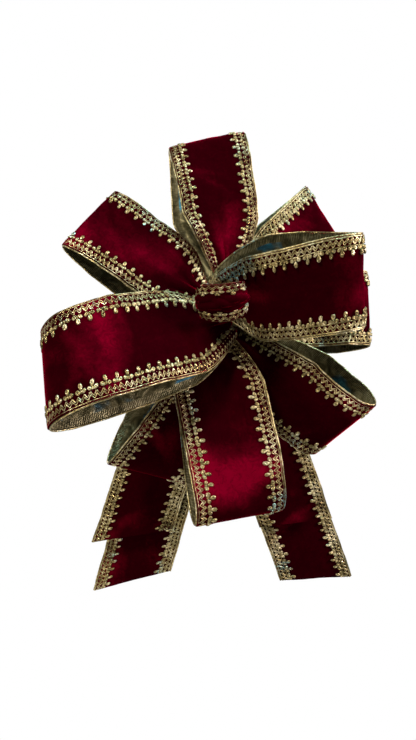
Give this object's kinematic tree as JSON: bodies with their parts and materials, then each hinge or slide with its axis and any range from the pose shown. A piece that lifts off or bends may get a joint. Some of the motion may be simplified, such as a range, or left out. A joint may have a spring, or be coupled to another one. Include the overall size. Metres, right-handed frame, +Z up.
{
  "type": "gift bow",
  "caption": "Pre-made gift bow of wired velvet ribbon with gold picot braid edges: puffed loops and hanging tails on one tied waist, for a parcel, wreath or tree.",
  "frame": {"origin": "centre of the back end of the tied waist, where the bow is fastened on", "axes": "+Z up along the hanging bow, -Y out of the bow's face, +X to its right seen from the front"},
  "size_m": [0.2498, 0.2254, 0.4099],
  "materials": {
    "velvet": "deep crimson velvet pile",
    "lining": "dull gold metallic cloth, crinkled",
    "braid": "antique gold metallic thread braid",
    "cord": "gold thread wrapped over a fine wire",
    "wire": "gold coated tie wire"
  },
  "bodies": {
    "waist": {"waist": "velvet", "tie_wire": "wire", "knot_velvet": "velvet", "knot_lining": "lining", "knot_braids": "braid"},
    "top_loop": {"top_velvet": "velvet", "top_lining": "lining", "top_braids": "braid", "top_edge_cords": "cord"},
    "upper_left_loop": {"upper_left_velvet": "velvet", "upper_left_lining": "lining", "upper_left_braids": "braid", "upper_left_edge_cords": "cord"},
    "upper_right_loop": {"upper_right_velvet": "velvet", "upper_right_lining": "lining", "upper_right_braids": "braid", "upper_right_edge_cords": "cord"},
    "right_front_loop": {"right_front_velvet": "velvet", "right_front_lining": "lining", "right_front_braids": "braid", "right_front_edge_cords": "cord"},
    "right_back_loop": {"right_back_velvet": "velvet", "right_back_lining": "lining", "right_back_braids": "braid", "right_back_edge_cords": "cord"},
    "lower_right_loop": {"lower_right_velvet": "velvet", "lower_right_lining": "lining", "lower_right_braids": "braid", "lower_right_edge_cords": "cord"},
    "bottom_loop": {"bottom_velvet": "velvet", "bottom_lining": "lining", "bottom_braids": "braid", "bottom_edge_cords": "cord"},
    "lower_left_loop": {"lower_left_velvet": "velvet", "lower_left_lining": "lining", "lower_left_braids": "braid", "lower_left_edge_cords": "cord"},
    "left_front_loop": {"left_front_velvet": "velvet", "left_front_lining": "lining", "left_front_braids": "braid", "left_front_edge_cords": "cord"},
    "left_short_tail": {"left_short_tail_velvet": "velvet", "left_short_tail_lining": "lining", "left_short_tail_braids": "braid", "left_short_tail_edge_cords": "cord"},
    "left_long_tail": {"left_long_tail_velvet": "velvet", "left_long_tail_lining": "lining", "left_long_tail_braids": "braid", "left_long_tail_edge_cords": "cord"},
    "right_short_tail": {"right_short_tail_velvet": "velvet", "right_short_tail_lining": "lining", "right_short_tail_braids": "braid", "right_short_tail_edge_cords": "cord"},
    "right_long_tail": {"right_long_tail_velvet": "velvet", "right_long_tail_lining": "lining", "right_long_tail_braids": "braid", "right_long_tail_edge_cords": "cord"}
  },
  "joints": [
    {"name": "top_swing", "type": "hinge", "parent": "waist", "child": "top_loop", "pos_m": [0.005, -0.0587, 0.0152], "axis": [0, -1, 0], "range_deg": [-6, 6]},
    {"name": "upper_left_lift", "type": "hinge", "parent": "waist", "child": "upper_left_loop", "pos_m": [-0.008, -0.0704, 0.0006], "axis": [0.5591, 0, 0.8291], "range_deg": [-6, 12]},
    {"name": "upper_right_lift", "type": "hinge", "parent": "waist", "child": "upper_right_loop", "pos_m": [0.0146, -0.0393, 0.006], "axis": [0.6559, 0, -0.7549], "range_deg": [-14, 0]},
    {"name": "right_front_swing", "type": "hinge", "parent": "waist", "child": "right_front_loop", "pos_m": [0.001, -0.0875, 0.009], "axis": [0, -1, 0], "range_deg": [-3, 16]},
    {"name": "right_back_swing", "type": "hinge", "parent": "waist", "child": "right_back_loop", "pos_m": [0.0138, -0.0568, -0.0065], "axis": [0, -1, 0], "range_deg": [-4, 5]},
    {"name": "lower_right_swing", "type": "hinge", "parent": "waist", "child": "lower_right_loop", "pos_m": [0.01, -0.074, -0.0222], "axis": [0, -1, 0], "range_deg": [-9, 6]},
    {"name": "bottom_swing", "type": "hinge", "parent": "waist", "child": "bottom_loop", "pos_m": [-0.0051, -0.0905, -0.0189], "axis": [0, -1, 0], "range_deg": [-3, 8]},
    {"name": "lower_left_swing", "type": "hinge", "parent": "waist", "child": "lower_left_loop", "pos_m": [0.0047, -0.0578, -0.0201], "axis": [0, -1, 0], "range_deg": [-18, 1]},
    {"name": "left_front_swing", "type": "hinge", "parent": "waist", "child": "left_front_loop", "pos_m": [0.0111, -0.1117, -0.0192], "axis": [0, -1, 0], "range_deg": [-1, 18]},
    {"name": "left_short_tail_swing", "type": "hinge", "parent": "waist", "child": "left_short_tail", "pos_m": [0, -0.022, -0.008], "axis": [0, -1, 0], "range_deg": [-8, 10]},
    {"name": "left_long_tail_swing", "type": "hinge", "parent": "waist", "child": "left_long_tail", "pos_m": [0, -0.012, -0.008], "axis": [0, -1, 0], "range_deg": [-8, 10]},
    {"name": "right_short_tail_swing", "type": "hinge", "parent": "waist", "child": "right_short_tail", "pos_m": [0, -0.017, -0.008], "axis": [0, -1, 0], "range_deg": [-8, 10]},
    {"name": "right_long_tail_swing", "type": "hinge", "parent": "waist", "child": "right_long_tail", "pos_m": [0, -0.007, -0.008], "axis": [0, -1, 0], "range_deg": [-8, 10]}
  ]
}
